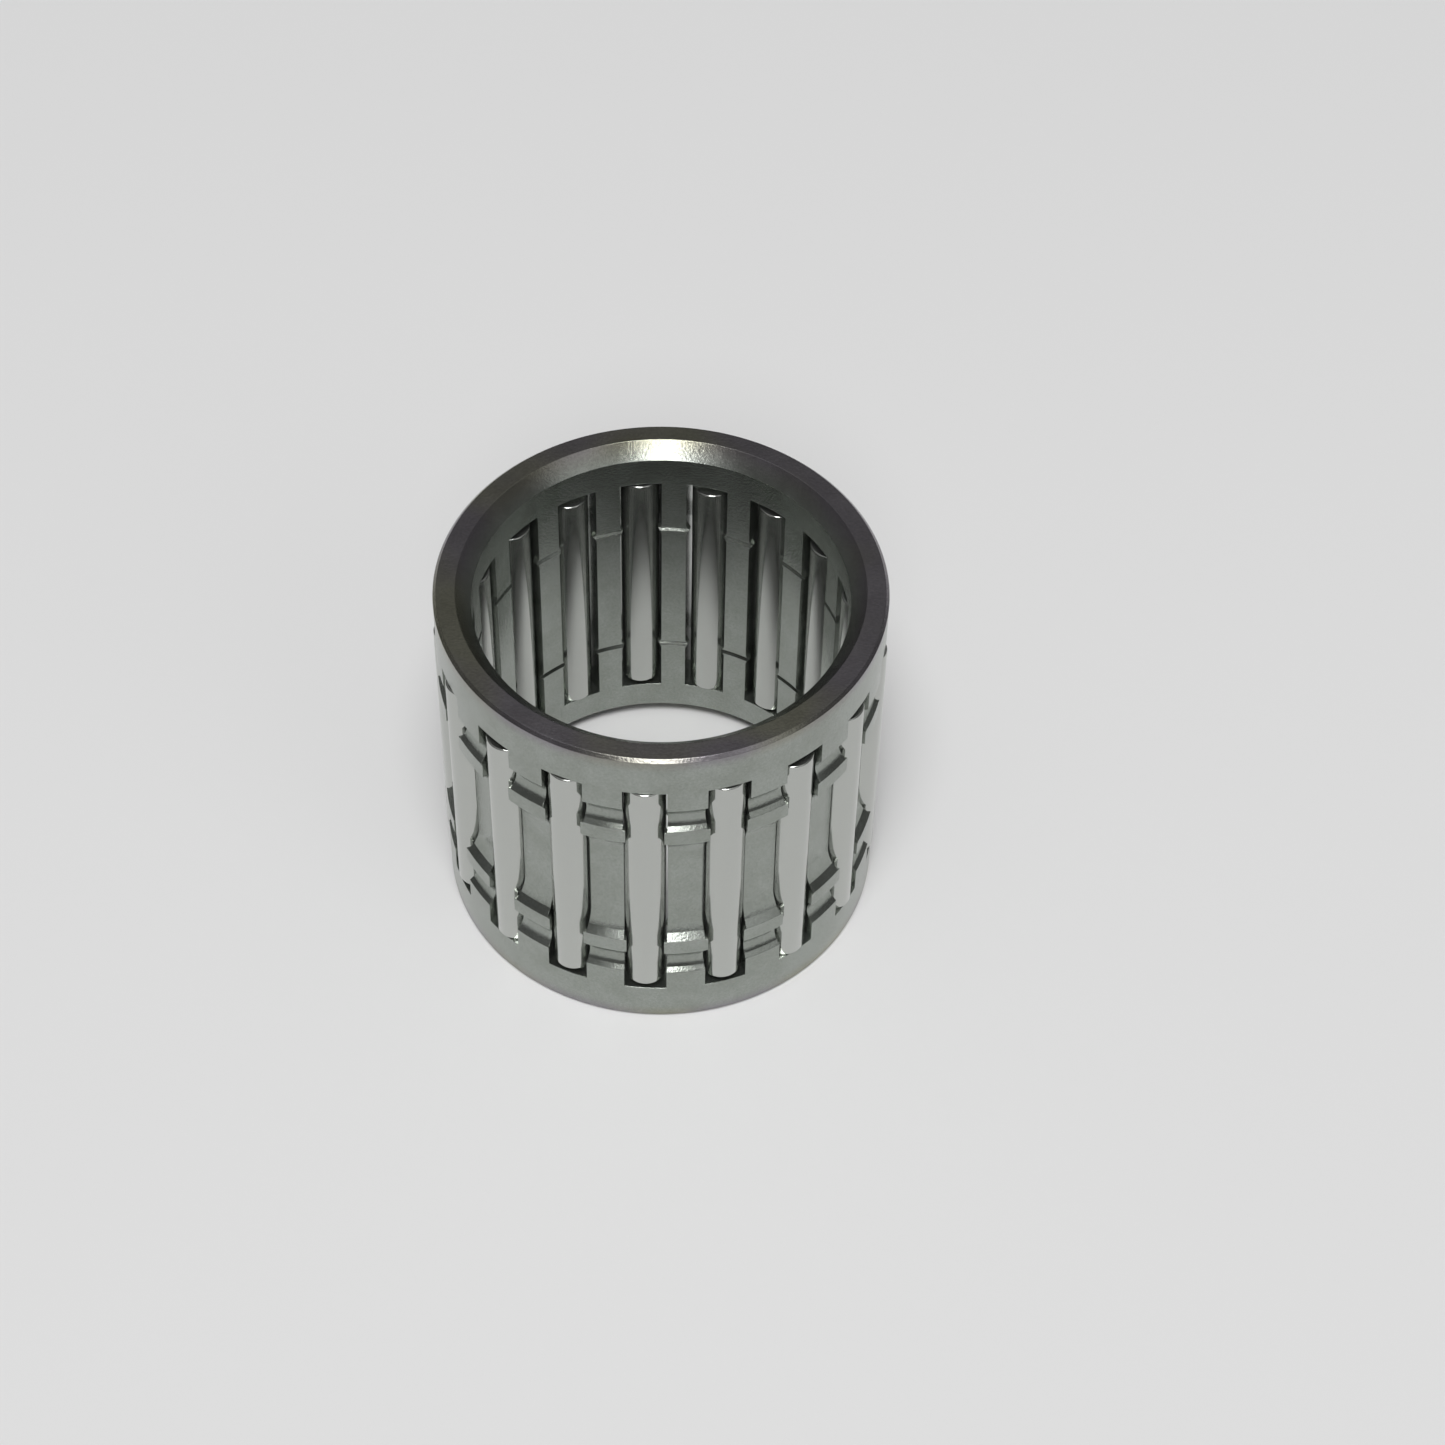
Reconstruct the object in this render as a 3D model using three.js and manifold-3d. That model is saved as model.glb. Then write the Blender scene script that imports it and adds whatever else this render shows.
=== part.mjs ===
// Needle roller and cage assembly for an 18 mm shaft in a 22 mm housing, 20 mm wide.
// It is a turned steel cage with a row of needle rollers in its pockets, and no rings of its own:
// the rollers run straight on the shaft and in the housing.
// Millimetres, +Z up along the bearing's axis. The origin is the middle of the lower end face.

import * as THREE from 'three';
import { mergeVertices } from 'three/addons/utils/BufferGeometryUtils.js';
import Module from 'manifold-3d';

// The size of the bearing.
const shaftDiameter = 18;            // the circle inside the rollers
const housingDiameter = 22;          // the circle around the rollers
const width = 20;                    // the cage over both end faces
const rollerCount = 17;

// The rollers.
const rollerLength = 14.8;
const rollerEndRounding = 0.3;       // the rounded edge of a roller's flat end

// The cage.
const cageClearance = 0.1;           // how far the rollers stand proud of it, inside and out
const pocketSideClearance = 0.05;    // between a roller and a pocket wall
const pocketLength = 15.3;
const outerChamfer = 0.16;           // at the outer edges of the end faces
const innerChamfer = 0.74;           // at the edges of the bore

// The bars between the pockets are turned down outside: a wide recess in the middle,
// a ridge at each side of it, and a narrow groove between each ridge and the end ring.
const recessDepth = 0.65;
const recessCornerRadius = 2.2;      // between the recess floor and its sloping sides
const recessCornerSweep = Math.PI / 6;   // how far that corner turns before the side starts
const ridgeInner = 3.85;             // a ridge's edges, from the middle of the width
const ridgeOuter = 4.8;
const grooveOuter = 6.35;
const grooveDepth = 0.42;
const grooveCornerRadius = 0.9;
const grooveCornerSweep = 0.69;      // how far that corner turns before the side starts
const flankAngle = 0.82;             // the sloping sides of the recess and the grooves, from the axis

// Each ridge is pressed over the pocket, which holds the roller from falling out.
const lipOverhang = 0.13;            // past the pocket wall
const lipThickness = 0.33;           // inwards from the top of the ridge
const lipInset = 0.03;               // from the ridge's edges to the lip's ends

// A line staked across the bars' inner side pushes a small tip out over each pocket,
// which holds the roller from falling in.
const stakePosition = 4.35;          // from the middle of the width
const stakeWidth = 0.3;
const stakeDepth = 0.12;
const tipOverhang = 0.16;            // past the pocket wall
const tipLength = 0.6;               // along the pocket wall
const tipThickness = 0.25;           // outwards from the bore of the cage

// How finely the round shapes are faceted.
const cageFacetsPerPocket = 3;
const rollerFacets = 24;
const cornerSteps = 2;

// Sizes that follow from the ones above.
const shaftRadius = shaftDiameter / 2;
const housingRadius = housingDiameter / 2;
const rollerRadius = (housingRadius - shaftRadius) / 2;
const pitchRadius = (housingRadius + shaftRadius) / 2;
const cageOuterRadius = housingRadius - cageClearance;
const cageInnerRadius = shaftRadius + cageClearance;
const pocketWidth = 2 * (rollerRadius + pocketSideClearance);
const halfWidth = width / 2;
const pocketStep = 2 * Math.PI / rollerCount;
const cutterOverrun = 0.5;           // how far a cutting solid runs past what it cuts

const wasm = await Module();
wasm.setup();

// A closed three.js geometry as a solid that can be cut.
function solidFromGeometry(geometry) {
  const bare = geometry.clone();
  bare.deleteAttribute('normal');
  bare.deleteAttribute('uv');
  const merged = mergeVertices(bare);
  const mesh = new wasm.Mesh({
    numProp: 3,
    vertProperties: new Float32Array(merged.getAttribute('position').array),
    triVerts: new Uint32Array(merged.index.array),
  });
  return new wasm.Manifold(mesh);
}

function geometryFromSolid(solid) {
  const mesh = solid.getMesh();
  const geometry = new THREE.BufferGeometry();
  geometry.setAttribute('position', new THREE.BufferAttribute(mesh.vertProperties, 3));
  geometry.setIndex(new THREE.BufferAttribute(mesh.triVerts, 1));
  geometry.computeVertexNormals();
  return geometry;
}

// A profile of (radius, height) points turned about the Z axis. Its first facet edge is on -Y.
function turned(profile, facets) {
  const geometry = new THREE.LatheGeometry(profile, facets);
  geometry.rotateX(Math.PI / 2);
  return geometry;
}

// Points along an arc in the profile plane, with both ends.
function arcPoints(centreR, centreZ, radius, fromAngle, toAngle, steps) {
  const points = [];
  for (let i = 0; i <= steps; i += 1) {
    const angle = fromAngle + (toAngle - fromAngle) * i / steps;
    const r = centreR + radius * Math.cos(angle);
    const z = centreZ + radius * Math.sin(angle);
    points.push(new THREE.Vector2(r, z));
  }
  return points;
}

// One side of a recess or groove, from its floor to the cage's outer surface: a round corner,
// then a straight flank that reaches the surface at topZ. It climbs towards +Z or -Z.
function dipSide(depth, cornerRadius, cornerSweep, topZ, direction) {
  const flankRise = depth - cornerRadius * (1 - Math.cos(cornerSweep));
  const cornerTopZ = topZ - direction * flankRise / Math.tan(flankAngle);
  const centreR = cageOuterRadius - depth + cornerRadius;
  const centreZ = cornerTopZ - direction * cornerRadius * Math.sin(cornerSweep);
  const endAngle = Math.PI - direction * cornerSweep;
  const corner = arcPoints(centreR, centreZ, cornerRadius, Math.PI, endAngle, cornerSteps);
  return [...corner, new THREE.Vector2(cageOuterRadius, topZ)];
}

// The groove between a ridge and the end ring, from its ridge side to its ring side.
function ringGroove() {
  const ridgeSide = dipSide(grooveDepth, grooveCornerRadius, grooveCornerSweep, ridgeOuter, -1);
  const ringSide = dipSide(grooveDepth, grooveCornerRadius, grooveCornerSweep, grooveOuter, 1);
  return [...ridgeSide.reverse(), ...ringSide];
}

// The staked line, as the inner side of the section meets it on the way down.
function stakedLine() {
  return [
    new THREE.Vector2(cageInnerRadius, stakePosition + stakeWidth / 2),
    new THREE.Vector2(cageInnerRadius + stakeDepth, stakePosition),
    new THREE.Vector2(cageInnerRadius, stakePosition - stakeWidth / 2),
  ];
}

// The upper half of the cage's section, from the recess floor round to the bore.
function upperHalfProfile() {
  return [
    ...dipSide(recessDepth, recessCornerRadius, recessCornerSweep, ridgeInner, 1),
    ...ringGroove(),
    new THREE.Vector2(cageOuterRadius, halfWidth - outerChamfer),
    new THREE.Vector2(cageOuterRadius - outerChamfer, halfWidth),
    new THREE.Vector2(cageInnerRadius + innerChamfer, halfWidth),
    new THREE.Vector2(cageInnerRadius, halfWidth - innerChamfer),
    ...stakedLine(),
  ];
}

function cageBlank() {
  const upper = upperHalfProfile();
  const lower = upper.map((point) => new THREE.Vector2(point.x, -point.y)).reverse();
  const profile = [...lower, ...upper, lower[0]];
  return solidFromGeometry(turned(profile, rollerCount * cageFacetsPerPocket));
}

// A block across the pocket at -Y, between two radii and two heights.
function block(fromX, toX, fromRadius, toRadius, fromZ, toZ) {
  const geometry = new THREE.BoxGeometry(toX - fromX, toRadius - fromRadius, toZ - fromZ);
  geometry.translate((fromX + toX) / 2, -(fromRadius + toRadius) / 2, (fromZ + toZ) / 2);
  return solidFromGeometry(geometry);
}

// The lip that stays standing at one wall of the pocket, over one ridge.
function ridgeLip(side, end) {
  const wall = pocketWidth / 2;
  const x = [side * (wall - lipOverhang), side * (wall + cutterOverrun)];
  const z = [end * (ridgeInner + lipInset), end * (ridgeOuter - lipInset)];
  return block(Math.min(...x), Math.max(...x), cageOuterRadius - lipThickness,
    cageOuterRadius + 2 * cutterOverrun, Math.min(...z), Math.max(...z));
}

// The tip that stays standing at one wall of the pocket, at the end of one staked line.
function stakedTip(side, end) {
  const wall = pocketWidth / 2;
  const middle = end * stakePosition;
  const outline = new THREE.Shape([
    new THREE.Vector2(side * (wall - tipOverhang), middle),
    new THREE.Vector2(side * wall, middle + tipLength / 2),
    new THREE.Vector2(side * (wall + cutterOverrun), middle + tipLength / 2),
    new THREE.Vector2(side * (wall + cutterOverrun), middle - tipLength / 2),
    new THREE.Vector2(side * wall, middle - tipLength / 2),
  ]);
  const depth = tipThickness + 2 * cutterOverrun;
  const geometry = new THREE.ExtrudeGeometry(outline, { depth, bevelEnabled: false });
  geometry.rotateX(Math.PI / 2);
  geometry.translate(0, 2 * cutterOverrun - cageInnerRadius, 0);
  return solidFromGeometry(geometry);
}

function pocketRetainers() {
  const retainers = [];
  for (const side of [-1, 1]) {
    for (const end of [-1, 1]) {
      retainers.push(ridgeLip(side, end));
      retainers.push(stakedTip(side, end));
    }
  }
  return retainers;
}

// The solid that cuts the pocket at -Y, right through the bar ring.
function pocketCutter() {
  const wall = pocketWidth / 2;
  const slot = block(-wall, wall, cageInnerRadius - cutterOverrun, cageOuterRadius + cutterOverrun,
    -pocketLength / 2, pocketLength / 2);
  return pocketRetainers().reduce((cutter, retainer) => cutter.subtract(retainer), slot);
}

function cageGeometry() {
  const cutter = pocketCutter();
  let cage = cageBlank();
  for (let i = 0; i < rollerCount; i += 1) {
    const degrees = THREE.MathUtils.radToDeg(i * pocketStep);
    cage = cage.subtract(cutter.rotate([0, 0, degrees]));
  }
  return geometryFromSolid(cage);
}

function rollerGeometry() {
  const halfLength = rollerLength / 2;
  const flatRadius = rollerRadius - rollerEndRounding;
  const edgeZ = halfLength - rollerEndRounding;
  const profile = [
    new THREE.Vector2(0, -halfLength),
    new THREE.Vector2(flatRadius, -halfLength),
    new THREE.Vector2(rollerRadius, -edgeZ),
    new THREE.Vector2(rollerRadius, edgeZ),
    new THREE.Vector2(flatRadius, halfLength),
    new THREE.Vector2(0, halfLength),
  ];
  return turned(profile, rollerFacets);
}

function addCage(bearing) {
  const steel = new THREE.MeshStandardMaterial({ color: '#868a85', roughness: 0.42, metalness: 1 });
  const cage = new THREE.Mesh(cageGeometry(), steel);
  cage.name = 'cage';
  cage.position.set(0, 0, halfWidth);
  bearing.add(cage);
}

// The first roller is at -Y, and the numbers go up anticlockwise seen from +Z.
function addRollers(bearing) {
  const shape = rollerGeometry();
  for (let i = 0; i < rollerCount; i += 1) {
    const angle = i * pocketStep - Math.PI / 2;
    const steel = new THREE.MeshStandardMaterial({ color: '#b4b6b2', roughness: 0.16, metalness: 1 });
    const roller = new THREE.Mesh(shape, steel);
    roller.name = `roller_${String(i + 1).padStart(2, '0')}`;
    roller.position.set(pitchRadius * Math.cos(angle), pitchRadius * Math.sin(angle), halfWidth);
    bearing.add(roller);
  }
}

const bearing = new THREE.Group();
addCage(bearing);
addRollers(bearing);

export default bearing;
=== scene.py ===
# Needle roller and cage assembly for an 18 mm shaft in a 22 mm housing, standing on a pale table.
import math

import bpy
from mathutils import Matrix, Quaternion, Vector


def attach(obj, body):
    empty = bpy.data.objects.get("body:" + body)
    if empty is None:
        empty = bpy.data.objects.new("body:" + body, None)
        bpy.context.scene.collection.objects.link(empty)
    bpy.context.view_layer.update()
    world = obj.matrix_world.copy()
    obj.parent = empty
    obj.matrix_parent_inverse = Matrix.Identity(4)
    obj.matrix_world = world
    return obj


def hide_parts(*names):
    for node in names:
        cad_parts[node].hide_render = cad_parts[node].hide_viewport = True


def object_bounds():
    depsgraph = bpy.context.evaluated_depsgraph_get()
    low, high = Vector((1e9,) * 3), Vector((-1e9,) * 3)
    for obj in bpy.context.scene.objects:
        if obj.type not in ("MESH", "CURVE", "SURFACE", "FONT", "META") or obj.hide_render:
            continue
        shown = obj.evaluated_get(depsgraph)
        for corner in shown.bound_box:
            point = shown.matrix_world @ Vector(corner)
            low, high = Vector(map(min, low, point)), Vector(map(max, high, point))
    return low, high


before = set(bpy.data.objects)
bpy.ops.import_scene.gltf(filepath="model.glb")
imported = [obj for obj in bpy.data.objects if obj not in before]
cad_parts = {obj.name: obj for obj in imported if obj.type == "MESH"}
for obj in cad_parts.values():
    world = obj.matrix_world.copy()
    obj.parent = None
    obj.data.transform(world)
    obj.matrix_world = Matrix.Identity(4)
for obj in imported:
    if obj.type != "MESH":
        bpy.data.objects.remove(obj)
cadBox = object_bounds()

mm = 0.001
scene = bpy.context.scene
middle = (cadBox[0] + cadBox[1]) / 2
middle.x = middle.y = 0


def addNode(tree, kind, settings=None, links=None):
    node = tree.nodes.new(kind)
    for name, value in (settings or {}).items():
        setattr(node, name, value)
    for name, value in (links or {}).items():
        socket = node.inputs[name]
        if isinstance(value, bpy.types.NodeSocket):
            tree.links.new(value, socket)
        else:
            socket.default_value = value
    return node


def newTree(name, inputs):
    # a geometry tree whose inputs are (name, socket kind) pairs
    tree = bpy.data.node_groups.new(name, "GeometryNodeTree")
    for label, kind in inputs:
        tree.interface.new_socket(label, in_out="INPUT", socket_type="NodeSocket" + kind)
    tree.interface.new_socket("Geometry", in_out="OUTPUT", socket_type="NodeSocketGeometry")
    return tree, addNode(tree, "NodeGroupInput").outputs, addNode(tree, "NodeGroupOutput")


def runTree(piece, tree, values):
    # inputs are set by their identifiers before the piece is first evaluated
    modifier = piece.modifiers.new(tree.name, "NODES")
    modifier.node_group = tree
    for item in tree.interface.items_tree:
        if item.in_out == "INPUT" and item.name in values:
            modifier[item.identifier] = values[item.name]


def linearColour(hexText):
    # sRGB hex to the linear colour that shaders take
    channels = [int(hexText[i:i + 2], 16) / 255 for i in (1, 3, 5)]
    curve = [c / 12.92 if c <= 0.04045 else ((c + 0.055) / 1.055) ** 2.4 for c in channels]
    return (*curve, 1)


def newObject(name, mesh):
    piece = bpy.data.objects.new(name, mesh)
    scene.collection.objects.link(piece)
    return piece


def bakeToMetres(piece):
    # the evaluated piece as a plain mesh in metres, with its modifiers gone
    graph = bpy.context.evaluated_depsgraph_get()
    mesh = bpy.data.meshes.new_from_object(piece.evaluated_get(graph), depsgraph=graph)
    piece.modifiers.clear()
    piece.data = mesh
    mesh.name = piece.name
    mesh.transform(Matrix.Scale(mm, 4))
    mesh.update()


def outwards(azimuth, elevation):
    # unit vector away from the bearing, at degrees round from its front and up from level
    turn, climb = math.radians(azimuth), math.radians(elevation)
    return Vector((math.sin(turn) * math.cos(climb), -math.cos(turn) * math.cos(climb), math.sin(climb)))


cameraPlace = {
    "distance": 165.2,       # mm from the middle of the bearing
    "elevation": 49.8,       # degrees
    "azimuth": 4.0,
    "lens": 82.3,
    "panRight": 1.065,       # degrees, which puts the bearing left of the middle of the view
    "tiltDown": 0.025,
    "roll": 0.1,
}


def makeCamera(place):
    away = outwards(place["azimuth"], place["elevation"])
    camera = bpy.data.objects.new("camera", bpy.data.cameras.new("camera"))
    scene.collection.objects.link(camera)
    camera.location = middle + away * place["distance"] * mm
    turn = (-away).to_track_quat("-Z", "Y")
    turn = turn @ Quaternion((0, 0, 1), math.radians(place["roll"]))
    turn = turn @ Quaternion((0, 1, 0), -math.radians(place["panRight"]))
    turn = turn @ Quaternion((1, 0, 0), -math.radians(place["tiltDown"]))
    camera.rotation_mode = "QUATERNION"
    camera.rotation_quaternion = turn
    camera.data.sensor_width = 36
    camera.data.lens = place["lens"]
    camera.data.clip_start = 1 * mm
    camera.data.clip_end = 10000 * mm
    scene.camera = camera


makeCamera(cameraPlace)
print("camera placed")


def newMaterial(name):
    material = bpy.data.materials.new(name)
    material.use_nodes = True
    tree = material.node_tree
    tree.nodes.clear()
    shader = addNode(tree, "ShaderNodeBsdfPrincipled")
    addNode(tree, "ShaderNodeOutputMaterial", links={"Surface": shader.outputs["BSDF"]})
    return material, tree, shader


def fineMarks(tree, along, pitch):
    # uneven tool marks, one about every pitch along a distance
    counted = addNode(tree, "ShaderNodeMath", {"operation": "DIVIDE"}, {0: along, 1: pitch * mm})
    marks = addNode(tree, "ShaderNodeTexNoise", {"noise_dimensions": "1D"}, {
        "W": counted.outputs[0], "Scale": 1.0, "Detail": 2.0, "Roughness": 0.7})
    return marks.outputs["Fac"]


def blend(tree, factor, first, second):
    mix = addNode(tree, "ShaderNodeMix", {"data_type": "RGBA"}, {0: factor, 6: first, 7: second})
    return mix.outputs[2]


def spread(tree, value, low, high, toLow, toHigh):
    ramp = addNode(tree, "ShaderNodeMapRange", links={
        "Value": value, "From Min": low, "From Max": high, "To Min": toLow, "To Max": toHigh})
    return ramp.outputs["Result"]


# Low-carbon steel tube, turned, milled, case-hardened and tumbled. The eye gets a satin grey-green skin
# with a fine sandy grain that sparkles at the rim of a highlight, soft clouds of tone, lathe rings on the
# end faces and chamfers, and a thin brown-violet heat film where the tumbling did not reach.
cageFinish = {
    "pale": "#a7aca6",
    "dark": "#9da29b",
    "film": "#8f8691",
    "olive": "#979480",
    "grain": 0.12,           # mm across, about twice the real grain, so that it shows
    "grainDepth": 0.009,     # mm, as are the sizes down to the edge rounding
    "clouds": 1.7,
    "filmPatch": 6,
    "filmStart": 9.2,        # from the middle of the width to where the film starts
    "filmFull": 9.9,
    "ringPitch": 0.05,
    "ringDepth": 0.0016,
    "edgeRounding": 0.035,
    "filmStrength": 0.7,
    "dust": 0.5,             # how much of the grain shows as tone
    "dustTone": 0.55,
    "satin": 0.19,           # roughness, from the smoothest patches to the dullest
    "matt": 0.26,
    "metallic": 0.95,
}


def makeCageSteel(finish):
    material, tree, shader = newMaterial("tumbledCageSteel")
    place = addNode(tree, "ShaderNodeTexCoord").outputs["Object"]
    grain = addNode(tree, "ShaderNodeTexNoise", links={
        "Vector": place, "Scale": 1 / (finish["grain"] * mm), "Detail": 3.0, "Roughness": 0.65})
    clouds = addNode(tree, "ShaderNodeTexNoise", links={
        "Vector": place, "Scale": 1 / (finish["clouds"] * mm), "Detail": 2.0, "Roughness": 0.5})
    film = addNode(tree, "ShaderNodeTexNoise", links={
        "Vector": place, "Scale": 1 / (finish["filmPatch"] * mm), "Detail": 1.0})

    # lathe marks go by height on the walls and by radius on the end faces, so they count both
    axes = addNode(tree, "ShaderNodeSeparateXYZ", links={"Vector": place})
    flat = addNode(tree, "ShaderNodeVectorMath", {"operation": "MULTIPLY"}, {0: place, 1: (1, 1, 0)})
    reach = addNode(tree, "ShaderNodeVectorMath", {"operation": "LENGTH"}, {0: flat.outputs[0]})
    along = addNode(tree, "ShaderNodeMath", links={0: axes.outputs["Z"], 1: reach.outputs["Value"]})
    rings = fineMarks(tree, along.outputs[0], finish["ringPitch"])

    # how near an end face the point is, from 0 at the bars to 1 at the face
    fromMiddle = addNode(tree, "ShaderNodeMath", {"operation": "SUBTRACT"}, {
        0: axes.outputs["Z"], 1: middle.z})
    height = addNode(tree, "ShaderNodeMath", {"operation": "ABSOLUTE"}, {0: fromMiddle.outputs[0]})
    atEnd = spread(tree, height.outputs[0], finish["filmStart"] * mm, finish["filmFull"] * mm, 0.0, 1.0)

    tone = blend(tree, spread(tree, clouds.outputs["Fac"], 0.35, 0.65, 0.0, 1.0),
                 linearColour(finish["dark"]), linearColour(finish["pale"]))
    stain = blend(tree, spread(tree, film.outputs["Fac"], 0.4, 0.6, 0.0, 1.0),
                  linearColour(finish["film"]), linearColour(finish["olive"]))
    stained = addNode(tree, "ShaderNodeMath", {"operation": "MULTIPLY"}, {
        0: atEnd, 1: finish["filmStrength"]})
    colour = blend(tree, stained.outputs[0], tone, stain)
    speck = spread(tree, grain.outputs["Fac"], 0.3, 0.7, 0.0, 1.0)
    shade = blend(tree, speck, (*[finish["dustTone"]] * 3, 1), (1, 1, 1, 1))
    dusted = addNode(tree, "ShaderNodeMix", {"data_type": "RGBA", "blend_type": "MULTIPLY"}, {
        0: finish["dust"], 6: colour, 7: shade})
    tree.links.new(dusted.outputs[2], shader.inputs["Base Color"])
    tree.links.new(spread(tree, clouds.outputs["Fac"], 0.3, 0.7, finish["satin"], finish["matt"]),
                   shader.inputs["Roughness"])
    # tumbling has taken the sharpness off every edge, and the lathe marks and the grain lie over that
    softEdge = addNode(tree, "ShaderNodeBevel", {"samples": 8}, {"Radius": finish["edgeRounding"] * mm})
    ringBump = addNode(tree, "ShaderNodeBump", links={
        "Height": rings, "Strength": 1.0, "Distance": finish["ringDepth"] * mm,
        "Normal": softEdge.outputs["Normal"]})
    grainBump = addNode(tree, "ShaderNodeBump", links={
        "Height": grain.outputs["Fac"], "Strength": 1.0, "Distance": finish["grainDepth"] * mm,
        "Normal": ringBump.outputs["Normal"]})
    tree.links.new(grainBump.outputs["Normal"], shader.inputs["Normal"])
    shader.inputs["Metallic"].default_value = finish["metallic"]
    return material


# Bearing steel, through-hardened, ground and superfinished. The eye gets a clear bright reflection,
# slightly drawn out by the fine grinding lines that run round each roller.
rollerFinish = {
    "colour": "#bdbfbb",
    "linePitch": 0.03,       # mm, as are the next two
    "lineDepth": 0.00035,
    "smears": 0.9,
    "clear": 0.1,            # roughness, from the clearest patches to the dullest
    "dull": 0.17,
    "metallic": 0.94,
}


def makeRollerSteel(finish):
    material, tree, shader = newMaterial("groundRollerSteel")
    place = addNode(tree, "ShaderNodeTexCoord").outputs["Object"]
    height = addNode(tree, "ShaderNodeSeparateXYZ", links={"Vector": place}).outputs["Z"]
    lines = fineMarks(tree, height, finish["linePitch"])
    smears = addNode(tree, "ShaderNodeTexNoise", links={
        "Vector": place, "Scale": 1 / (finish["smears"] * mm), "Detail": 3.0, "Roughness": 0.6})
    shader.inputs["Base Color"].default_value = linearColour(finish["colour"])
    tree.links.new(spread(tree, smears.outputs["Fac"], 0.3, 0.7, finish["clear"], finish["dull"]),
                   shader.inputs["Roughness"])
    bump = addNode(tree, "ShaderNodeBump", links={
        "Height": lines, "Strength": 1.0, "Distance": finish["lineDepth"] * mm})
    tree.links.new(bump.outputs["Normal"], shader.inputs["Normal"])
    shader.inputs["Metallic"].default_value = finish["metallic"]
    return material


cageSteel = makeCageSteel(cageFinish)
rollerSteel = makeRollerSteel(rollerFinish)
print("materials made")


# mm, apart from the counts and the angles
cageSizes = {
    "outerRadius": 10.9,
    "innerRadius": 9.1,
    "width": 20,
    "pockets": 17,
    "pocketWidth": 2.1,
    "pocketLength": 15.3,
    "outerChamfer": 0.16,
    "innerChamfer": 0.74,
    "recessDepth": 0.65,
    "recessCorner": 2.2,
    "recessSweep": 30,       # degrees that a round corner turns before its side starts
    "ridgeInner": 3.85,      # from the middle of the width, as are the next two
    "ridgeOuter": 4.8,
    "grooveOuter": 6.35,
    "grooveDepth": 0.42,
    "grooveCorner": 0.9,
    "grooveSweep": 39.5,
    "flankAngle": 47,
    "lipOverhang": 0.13,     # past the pocket wall, as is the tip's
    "lipThickness": 0.33,
    "lipInset": 0.03,        # from the ridge's edges
    "stakePosition": 4.35,
    "stakeWidth": 0.3,
    "stakeDepth": 0.12,
    "tipOverhang": 0.16,
    "tipLength": 0.6,
    "tipThickness": 0.25,
    "crispAngle": 6,         # degrees past which an edge between two faces stays crisp
    "facetsPerPocket": 12,
    "cornerSteps": 8,
}


def dipSide(sizes, kind, top, climb):
    # one side of a turned recess or groove: a round corner, then a straight flank up to the surface
    depth, corner = sizes[kind + "Depth"], sizes[kind + "Corner"]
    flank, sweep = math.radians(sizes["flankAngle"]), math.radians(sizes[kind + "Sweep"])
    rise = depth - corner * (1 - math.cos(sweep))
    centreR = sizes["outerRadius"] - depth + corner
    centreZ = top - climb * (rise / math.tan(flank) + corner * math.sin(sweep))
    points = []
    for i in range(sizes["cornerSteps"] + 1):
        turn = sweep * i / sizes["cornerSteps"]
        points.append((centreR - corner * math.cos(turn), centreZ + climb * corner * math.sin(turn)))
    return points + [(sizes["outerRadius"], top)]


def cageSection(sizes):
    # the section as (radius, height from the middle) points, anticlockwise
    outer, inner, half = sizes["outerRadius"], sizes["innerRadius"], sizes["width"] / 2
    ridgeSide = dipSide(sizes, "groove", sizes["ridgeOuter"], -1)
    ringSide = dipSide(sizes, "groove", sizes["grooveOuter"], 1)
    stake, halfStake = sizes["stakePosition"], sizes["stakeWidth"] / 2
    upper = dipSide(sizes, "recess", sizes["ridgeInner"], 1)
    upper += ridgeSide[::-1] + ringSide
    upper += [
        (outer, half - sizes["outerChamfer"]),
        (outer - sizes["outerChamfer"], half),
        (inner + sizes["innerChamfer"], half),
        (inner, half - sizes["innerChamfer"]),
        (inner, stake + halfStake),
        (inner + sizes["stakeDepth"], stake),
        (inner, stake - halfStake),
    ]
    lower = [(r, -z) for r, z in upper[::-1]]
    return lower + upper


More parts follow.
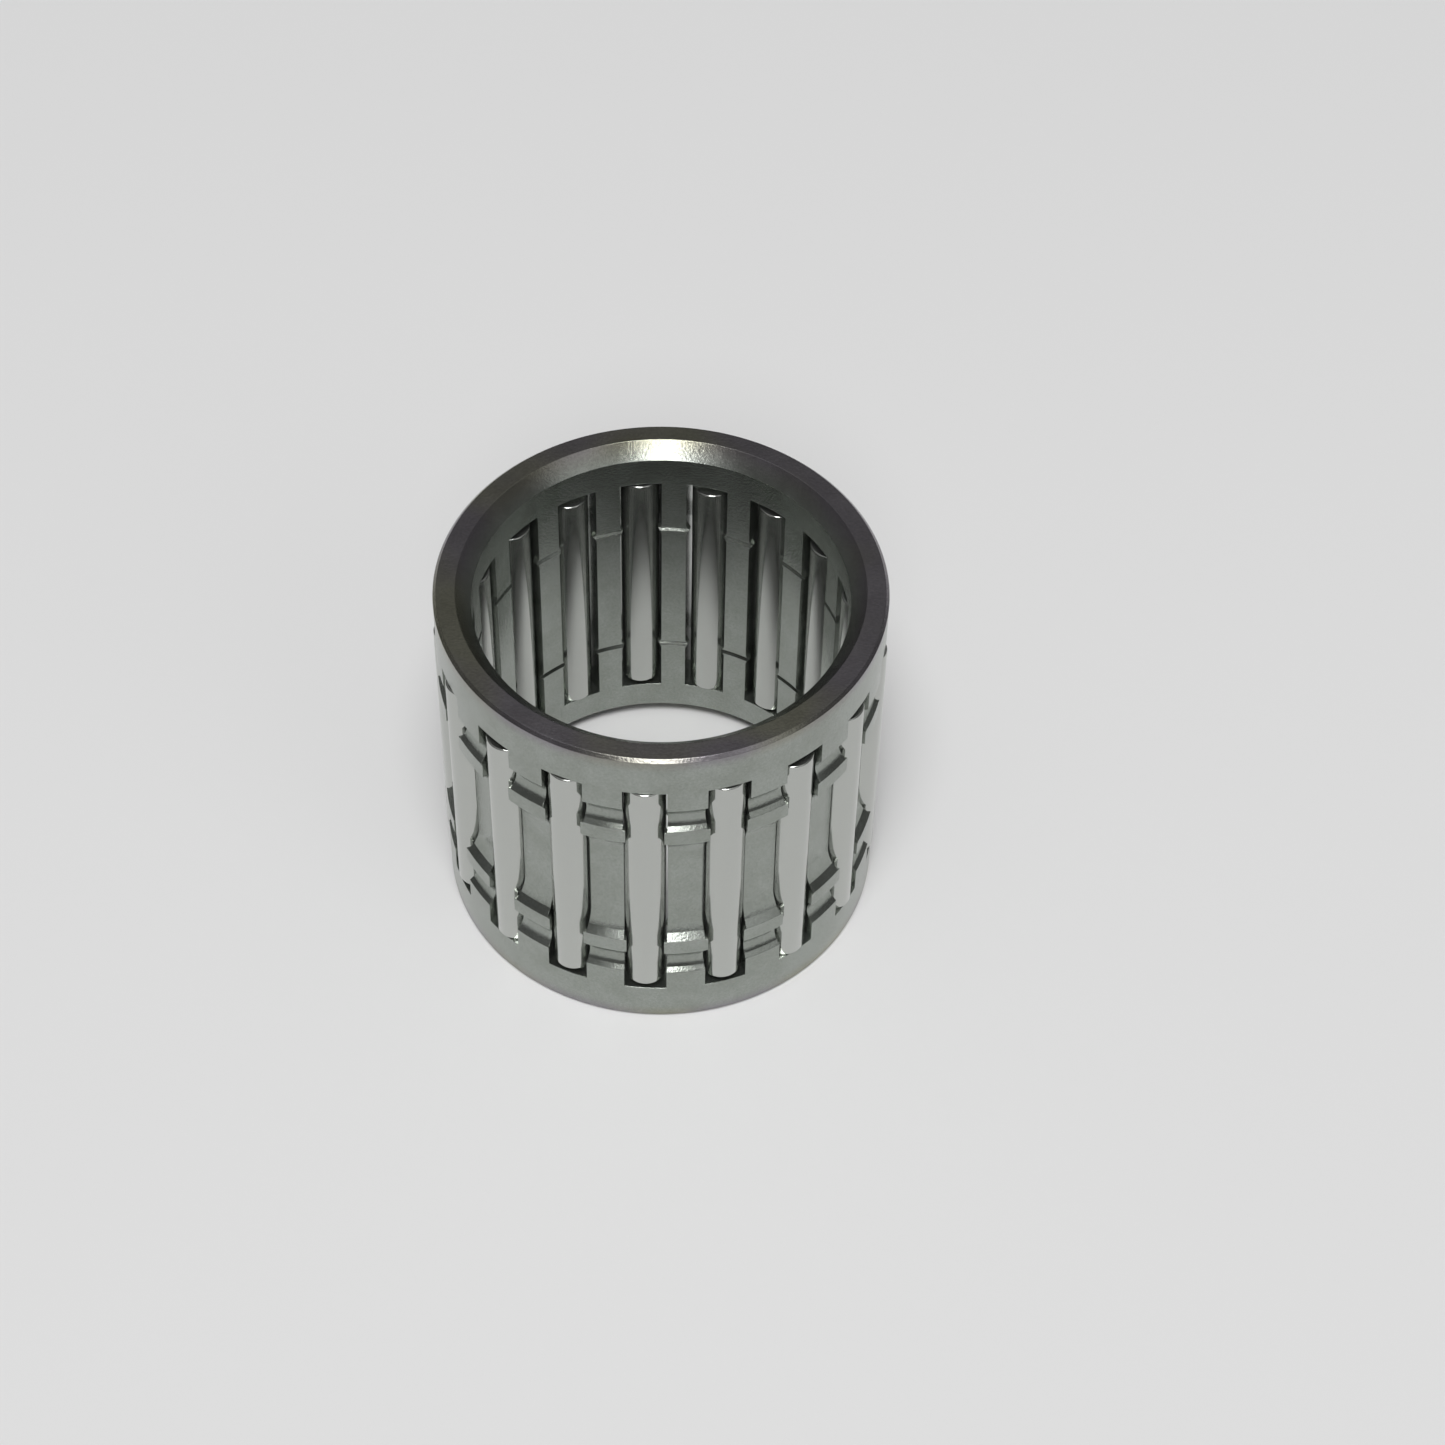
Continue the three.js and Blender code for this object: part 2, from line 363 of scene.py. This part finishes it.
def makeCageTree():
    tree, given, result = newTree("turnAndMillCage", [
        ("Section", "Geometry"), ("Pitch Radius", "Float"), ("Facets", "Int"), ("Pockets", "Int"),
        ("Slot Size", "Vector"), ("Slot Radius", "Float"),
        ("Lip Size", "Vector"), ("Lip Spread", "Vector"), ("Lip Radius", "Float"),
        ("Tip Size", "Vector"), ("Tip Spread", "Vector"), ("Tip Radius", "Float"),
        ("Crisp Angle", "Float"), ("Material", "Material")])

    # turn the section round the axis
    section = addNode(tree, "GeometryNodeMeshToCurve", links={"Mesh": given["Section"]})
    round_ = addNode(tree, "GeometryNodeCurvePrimitiveCircle", links={
        "Resolution": given["Facets"], "Radius": given["Pitch Radius"]})
    blank = addNode(tree, "GeometryNodeCurveToMesh", links={
        "Curve": round_.outputs["Curve"], "Profile Curve": section.outputs["Curve"]})

    def fourCopies(shape, apart, radius):
        # a copy at each corner of a rectangle that stands across the pocket
        corner = addNode(tree, "ShaderNodeSeparateXYZ", links={"Vector": apart})
        grid = addNode(tree, "GeometryNodeMeshGrid", links={
            "Size X": corner.outputs["X"], "Size Y": corner.outputs["Z"],
            "Vertices X": 2, "Vertices Y": 2})
        out = addNode(tree, "ShaderNodeMath", {"operation": "MULTIPLY"}, {0: radius, 1: -1.0})
        offset = addNode(tree, "ShaderNodeCombineXYZ", links={"Y": out.outputs[0]})
        stood = addNode(tree, "GeometryNodeTransform", links={
            "Geometry": grid.outputs["Mesh"], "Rotation": (math.pi / 2, 0, 0),
            "Translation": offset.outputs["Vector"]})
        copies = addNode(tree, "GeometryNodeInstanceOnPoints", links={
            "Points": stood.outputs["Geometry"], "Instance": shape})
        return addNode(tree, "GeometryNodeRealizeInstances", links={
            "Geometry": copies.outputs["Instances"]}).outputs["Geometry"]

    # the milling cutter for one pocket at -Y, less the lips and tips that stay standing
    slot = addNode(tree, "GeometryNodeMeshCube", links={"Size": given["Slot Size"]})
    back = addNode(tree, "ShaderNodeMath", {"operation": "MULTIPLY"}, {
        0: given["Slot Radius"], 1: -1.0})
    slotPlace = addNode(tree, "ShaderNodeCombineXYZ", links={"Y": back.outputs[0]})
    slotStood = addNode(tree, "GeometryNodeTransform", links={
        "Geometry": slot.outputs["Mesh"], "Translation": slotPlace.outputs["Vector"]})
    lip = addNode(tree, "GeometryNodeMeshCube", links={"Size": given["Lip Size"]})
    lips = fourCopies(lip.outputs["Mesh"], given["Lip Spread"], given["Lip Radius"])
    wedge = addNode(tree, "GeometryNodeMeshCylinder", links={
        "Vertices": 4, "Radius": 1.0, "Depth": 1.0})
    wedgeLaid = addNode(tree, "GeometryNodeTransform", links={
        "Geometry": wedge.outputs["Mesh"], "Rotation": (math.pi / 2, 0, 0)})
    wedgeSized = addNode(tree, "GeometryNodeTransform", links={
        "Geometry": wedgeLaid.outputs["Geometry"], "Scale": given["Tip Size"]})
    tips = fourCopies(wedgeSized.outputs["Geometry"], given["Tip Spread"], given["Tip Radius"])
    kept = addNode(tree, "GeometryNodeJoinGeometry")
    for part in (lips, tips):
        tree.links.new(part, kept.inputs["Geometry"])
    cutter = addNode(tree, "GeometryNodeMeshBoolean", {"operation": "DIFFERENCE", "solver": "EXACT"}, {
        "Mesh 1": slotStood.outputs["Geometry"], "Mesh 2": kept.outputs["Geometry"]})

    # a cutter for each pocket
    points = addNode(tree, "GeometryNodePoints", links={"Count": given["Pockets"]})
    index = addNode(tree, "GeometryNodeInputIndex")
    share = addNode(tree, "ShaderNodeMath", {"operation": "DIVIDE"}, {
        0: index.outputs["Index"], 1: given["Pockets"]})
    angle = addNode(tree, "ShaderNodeMath", {"operation": "MULTIPLY"}, {
        0: share.outputs[0], 1: 2 * math.pi})
    spin = addNode(tree, "ShaderNodeCombineXYZ", links={"Z": angle.outputs[0]})
    cutters = addNode(tree, "GeometryNodeInstanceOnPoints", links={
        "Points": points.outputs["Points"], "Instance": cutter.outputs["Mesh"],
        "Rotation": spin.outputs["Vector"]})
    allCutters = addNode(tree, "GeometryNodeRealizeInstances", links={
        "Geometry": cutters.outputs["Instances"]})
    milled = addNode(tree, "GeometryNodeMeshBoolean", {"operation": "DIFFERENCE", "solver": "EXACT"}, {
        "Mesh 1": blank.outputs["Mesh"], "Mesh 2": allCutters.outputs["Geometry"]})

    # round surfaces shade smooth, and every machined edge stays crisp
    fold = addNode(tree, "GeometryNodeInputMeshEdgeAngle")
    crisp = addNode(tree, "ShaderNodeMath", {"operation": "GREATER_THAN"}, {
        0: fold.outputs["Unsigned Angle"], 1: given["Crisp Angle"]})
    smooth = addNode(tree, "GeometryNodeSetShadeSmooth", {"domain": "FACE"}, {
        "Geometry": milled.outputs["Mesh"], "Shade Smooth": True})
    edged = addNode(tree, "GeometryNodeSetShadeSmooth", {"domain": "EDGE"}, {
        "Geometry": smooth.outputs["Geometry"], "Selection": crisp.outputs[0], "Shade Smooth": False})
    whole = addNode(tree, "GeometryNodeRealizeInstances", links={"Geometry": edged.outputs["Geometry"]})
    coated = addNode(tree, "GeometryNodeSetMaterial", links={
        "Geometry": whole.outputs["Geometry"], "Material": given["Material"]})
    tree.links.new(coated.outputs["Geometry"], result.inputs["Geometry"])
    return tree


def makeCage(sizes):
    outer, inner, wall = sizes["outerRadius"], sizes["innerRadius"], sizes["pocketWidth"] / 2
    pitch = (outer + inner) / 2
    outline = [(r - pitch, z, 0) for r, z in cageSection(sizes)]
    mesh = bpy.data.meshes.new("cage_outline")
    mesh.from_pydata(outline, [(i, (i + 1) % len(outline)) for i in range(len(outline))], [])
    piece = newObject("needle_cage", mesh)
    spare = 0.5              # how far the cutter runs past the cage
    lipReach = sizes["lipOverhang"] + spare
    lipHeight = sizes["ridgeOuter"] - sizes["ridgeInner"] - 2 * sizes["lipInset"]
    runTree(piece, makeCageTree(), {
        "Pitch Radius": pitch,
        "Facets": sizes["pockets"] * sizes["facetsPerPocket"],
        "Pockets": sizes["pockets"],
        "Slot Size": (2 * wall, outer - inner + 2 * spare, sizes["pocketLength"]),
        "Slot Radius": pitch,
        "Lip Size": (lipReach, sizes["lipThickness"] + 2 * spare, lipHeight),
        "Lip Spread": (2 * (wall - sizes["lipOverhang"]) + lipReach, 0,
                       sizes["ridgeInner"] + sizes["ridgeOuter"]),
        "Lip Radius": outer + spare - sizes["lipThickness"] / 2,
        "Tip Size": (sizes["tipOverhang"], sizes["tipThickness"] + 2 * spare, sizes["tipLength"] / 2),
        "Tip Spread": (2 * wall, 0, 2 * sizes["stakePosition"]),
        "Tip Radius": inner - spare + sizes["tipThickness"] / 2,
        "Crisp Angle": math.radians(sizes["crispAngle"]),
        "Material": cageSteel,
    })
    bakeToMetres(piece)
    piece.data.transform(Matrix.Translation(middle))
    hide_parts("cage")
    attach(piece, "cage")
    return piece


cage = makeCage(cageSizes)
print("cage turned and milled:", len(cage.data.polygons), "faces")


# mm, apart from the counts
rollerSizes = {
    "radius": 1.0,
    "length": 14.8,
    "endRounding": 0.08,
    "roundingSteps": 5,
    "facets": 96,
    "pitchRadius": 10,
}


def makeRollerTree():
    tree, given, result = newTree("grindRoller", [
        ("Radius", "Float"), ("Length", "Float"), ("End Rounding", "Float"),
        ("Rounding Steps", "Int"), ("Facets", "Int"), ("Centre", "Vector"), ("Material", "Material")])
    half = addNode(tree, "ShaderNodeMath", {"operation": "DIVIDE"}, {0: given["Radius"], 1: 2.0})
    section = addNode(tree, "GeometryNodeCurvePrimitiveQuadrilateral", links={
        "Width": given["Radius"], "Height": given["Length"]})
    # only the corners away from the axis are rounded
    place = addNode(tree, "GeometryNodeInputPosition")
    side = addNode(tree, "ShaderNodeSeparateXYZ", links={"Vector": place.outputs["Position"]})
    away = addNode(tree, "ShaderNodeMath", {"operation": "GREATER_THAN"}, {0: side.outputs["X"], 1: 0.0})
    rounding = addNode(tree, "ShaderNodeMath", {"operation": "MULTIPLY"}, {
        0: away.outputs[0], 1: given["End Rounding"]})
    rounded = addNode(tree, "GeometryNodeFilletCurve", {"mode": "POLY"}, {
        "Curve": section.outputs["Curve"], "Count": given["Rounding Steps"],
        "Radius": rounding.outputs[0]})
    path = addNode(tree, "GeometryNodeCurvePrimitiveCircle", links={
        "Resolution": given["Facets"], "Radius": half.outputs[0]})
    turned = addNode(tree, "GeometryNodeCurveToMesh", links={
        "Curve": path.outputs["Curve"], "Profile Curve": rounded.outputs["Curve"]})
    closed = addNode(tree, "GeometryNodeMergeByDistance", links={
        "Geometry": turned.outputs["Mesh"], "Distance": 0.0005})
    smooth = addNode(tree, "GeometryNodeSetShadeSmooth", links={"Geometry": closed.outputs["Geometry"]})
    placed = addNode(tree, "GeometryNodeTransform", links={
        "Geometry": smooth.outputs["Geometry"], "Translation": given["Centre"]})
    whole = addNode(tree, "GeometryNodeRealizeInstances", links={"Geometry": placed.outputs["Geometry"]})
    coated = addNode(tree, "GeometryNodeSetMaterial", links={
        "Geometry": whole.outputs["Geometry"], "Material": given["Material"]})
    tree.links.new(coated.outputs["Geometry"], result.inputs["Geometry"])
    return tree


# how far each loose roller has slid up its pocket and leant to one side of it, in mm
rollerRests = [
    (0.18, 0.04), (0.15, -0.04), (-0.24, 0.03), (-0.22, -0.04), (0.05, 0.04), (-0.2, 0.04),
    (-0.24, -0.04), (-0.1, 0.02), (-0.24, 0.045), (0.1, 0.045), (-0.24, -0.04), (-0.2, 0.04),
    (-0.06, 0.03), (-0.22, -0.04), (0.04, 0.04), (-0.2, -0.02), (0.16, 0.04),
]


def makeRollers(sizes, count):
    tree = makeRollerTree()
    for i in range(count):
        name = f"roller_{i + 1:02d}"
        angle = 2 * math.pi * i / count - math.pi / 2
        slide, lean = rollerRests[i]
        piece = newObject("needle_" + name, bpy.data.meshes.new(name))
        runTree(piece, tree, {
            "Radius": sizes["radius"],
            "Length": sizes["length"],
            "End Rounding": sizes["endRounding"],
            "Rounding Steps": sizes["roundingSteps"],
            "Facets": sizes["facets"],
            "Centre": (sizes["pitchRadius"] * math.cos(angle) + lean * math.sin(angle),
                       sizes["pitchRadius"] * math.sin(angle) - lean * math.cos(angle),
                       middle.z / mm + slide),
            "Material": rollerSteel,
        })
        bakeToMetres(piece)
        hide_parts(name)
        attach(piece, name)


makeRollers(rollerSizes, cageSizes["pockets"])
print("rollers ground")


tableFinish = {
    "size": 3000,            # mm
    "colour": "#e3e3e3",
    "roughness": 0.8,
    "specular": 0.2,
}


def makeTable(finish):
    # a sheet of matt white card, which gives an even pale ground and soft shadows
    material, tree, shader = newMaterial("mattWhiteCard")
    shader.inputs["Base Color"].default_value = linearColour(finish["colour"])
    shader.inputs["Roughness"].default_value = finish["roughness"]
    shader.inputs["Specular IOR Level"].default_value = finish["specular"]
    half = finish["size"] / 2 * mm
    corners = [(-half, -half, 0), (half, -half, 0), (half, half, 0), (-half, half, 0)]
    mesh = bpy.data.meshes.new("table")
    mesh.from_pydata(corners, [], [(0, 1, 2, 3)])
    mesh.materials.append(material)
    newObject("table", mesh)


# round lamps aimed at the bearing: degrees from the front and up, mm away and across, and watts
lamps = {
    "lampBehindCamera": {"azimuth": 2, "elevation": 44, "distance": 1500, "size": 400, "power": 4.1},
    "paleWindow": {"azimuth": 50, "elevation": 38, "distance": 1500, "size": 800, "power": 0.9},
    "overheadSoftbox": {"azimuth": 0, "elevation": 69, "distance": 1400, "size": 560, "power": 12.6},
}


def makeLamp(name, place):
    away = outwards(place["azimuth"], place["elevation"])
    light = bpy.data.lights.new(name, "AREA")
    light.shape = "DISK"
    light.size = place["size"] * mm
    light.energy = place["power"]
    lamp = bpy.data.objects.new(name, light)
    scene.collection.objects.link(lamp)
    lamp.location = middle + away * place["distance"] * mm
    lamp.rotation_mode = "QUATERNION"
    lamp.rotation_quaternion = (-away).to_track_quat("-Z", "Y")


roomLight = {
    "walls": "#565656",
    "ceiling": "#b0b0b0",
    "wallTop": 0.7,          # sine of the angle where the walls start to turn to ceiling
    "ceilingEdge": 0.95,
}


def makeRoom(light):
    # a dim room, with a lighter ceiling
    world = bpy.data.worlds.new("dimRoom")
    world.use_nodes = True
    tree = world.node_tree
    way = addNode(tree, "ShaderNodeSeparateXYZ", links={
        "Vector": addNode(tree, "ShaderNodeTexCoord").outputs["Generated"]})
    rise = spread(tree, way.outputs["Z"], light["wallTop"], light["ceilingEdge"], 0.0, 1.0)
    tree.links.new(blend(tree, rise, linearColour(light["walls"]), linearColour(light["ceiling"])),
                   tree.nodes["Background"].inputs["Color"])
    scene.world = world


makeTable(tableFinish)
for lampName, lampPlace in lamps.items():
    makeLamp(lampName, lampPlace)
makeRoom(roomLight)
scene.view_settings.view_transform = "Standard"
print("table and light set")
